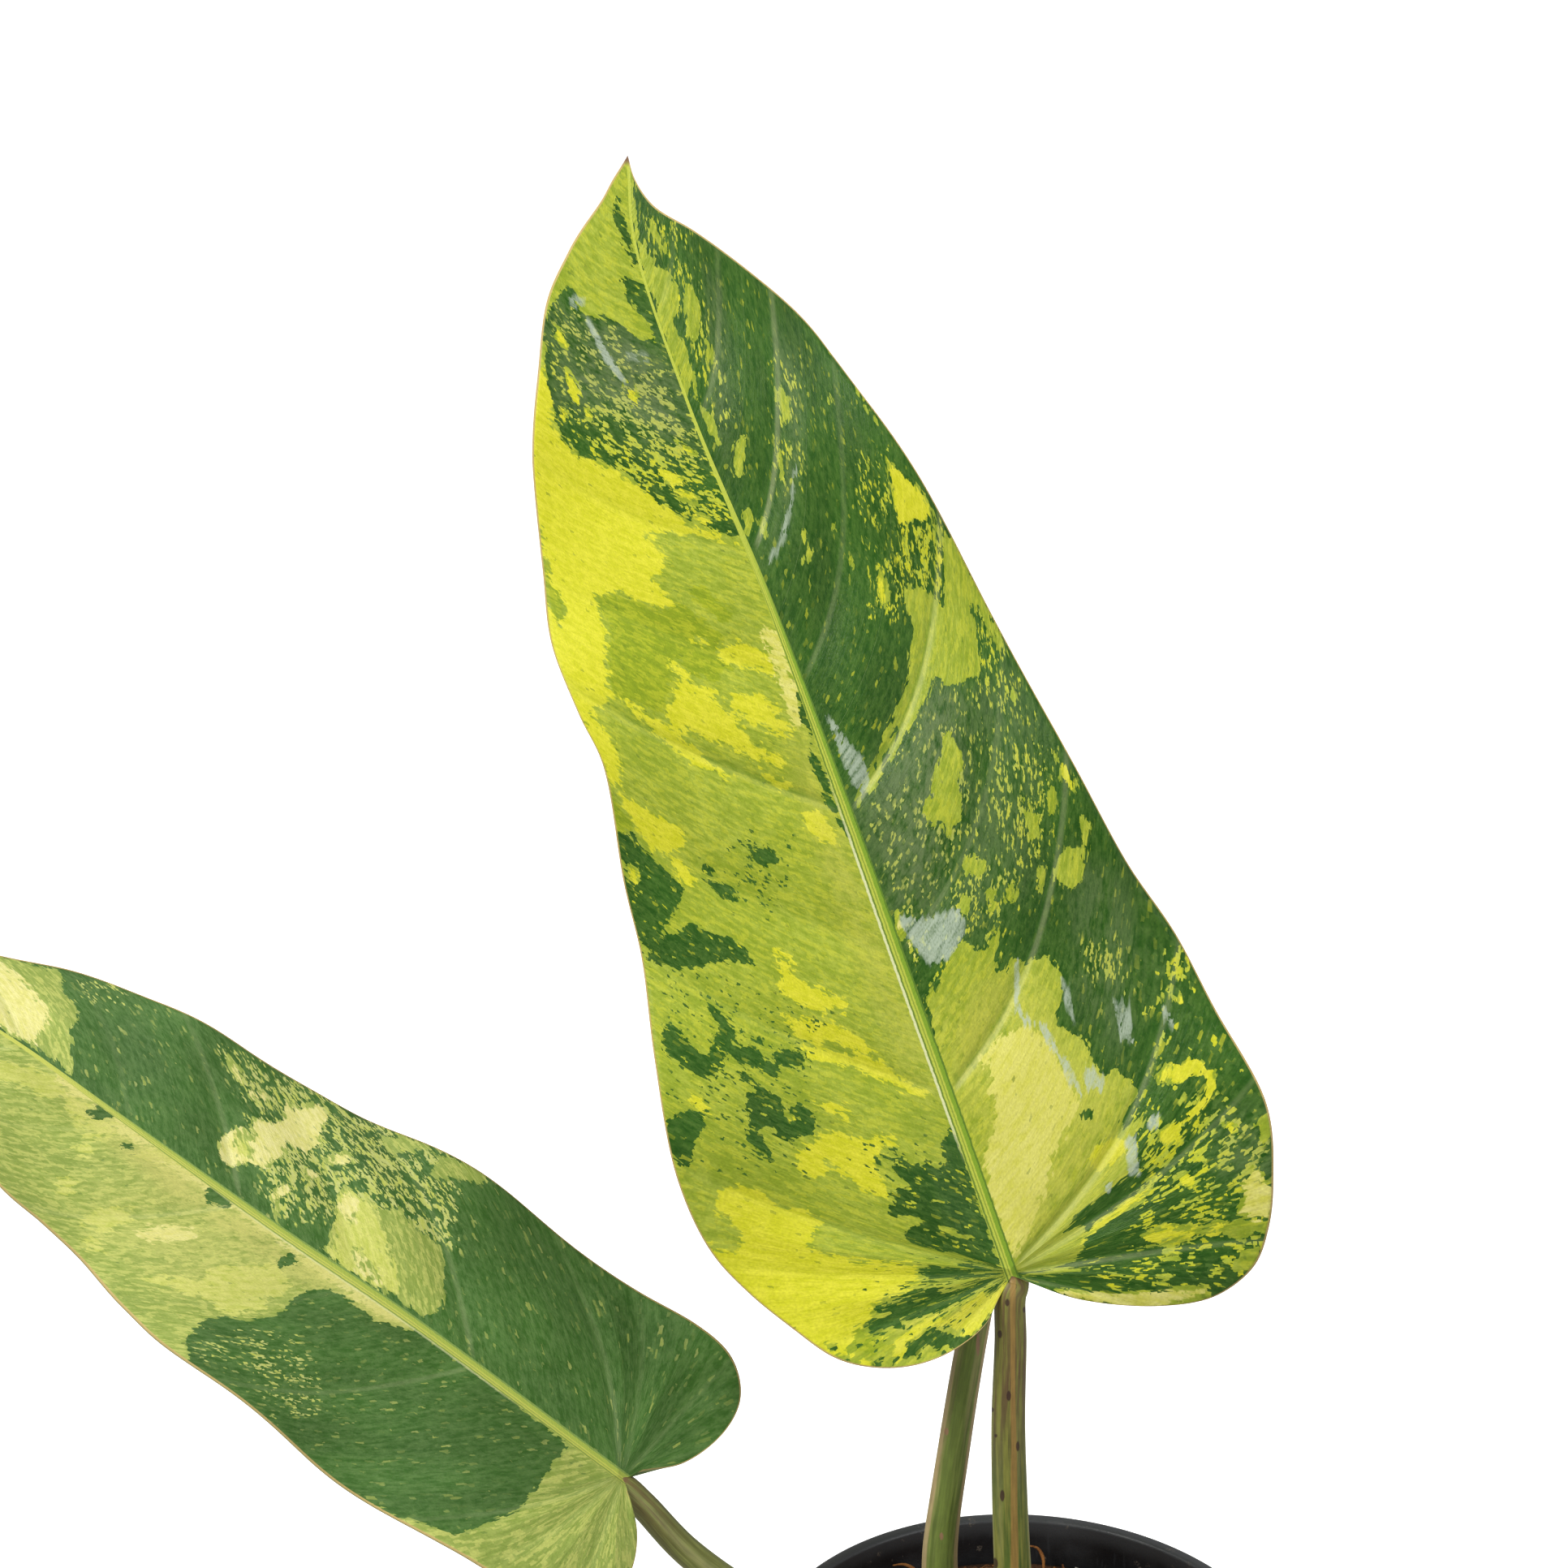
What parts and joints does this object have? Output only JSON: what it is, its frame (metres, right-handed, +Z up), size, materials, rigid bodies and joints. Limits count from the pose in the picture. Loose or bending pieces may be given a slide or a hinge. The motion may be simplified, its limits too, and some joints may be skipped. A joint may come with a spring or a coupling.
{
  "type": "potted whipple way philodendron",
  "caption": "Potted philodendron with long heart-based variegated leaves on tall stalks, rising from a short stem in a tapered nursery pot.",
  "frame": {"origin": "centre of the pot's flat underside", "axes": "+Z up; the largest blade faces -Y and the second blade reaches towards -X"},
  "size_m": [0.4002, 0.346, 0.4907],
  "materials": {
    "pot_plastic": "satin",
    "potting_mix": "matte",
    "stem_bark": "matte",
    "leaf_stalk": "satin",
    "leaf_blade": "satin"
  },
  "bodies": {
    "root": {"pot": "pot_plastic", "potting_mix": "potting_mix", "stem": "stem_bark", "petiole_front": "leaf_stalk", "petiole_back": "leaf_stalk", "petiole_left": "leaf_stalk", "leaf_front": "leaf_blade", "leaf_left": "leaf_blade", "leaf_back": "leaf_blade"}
  },
  "joints": []
}
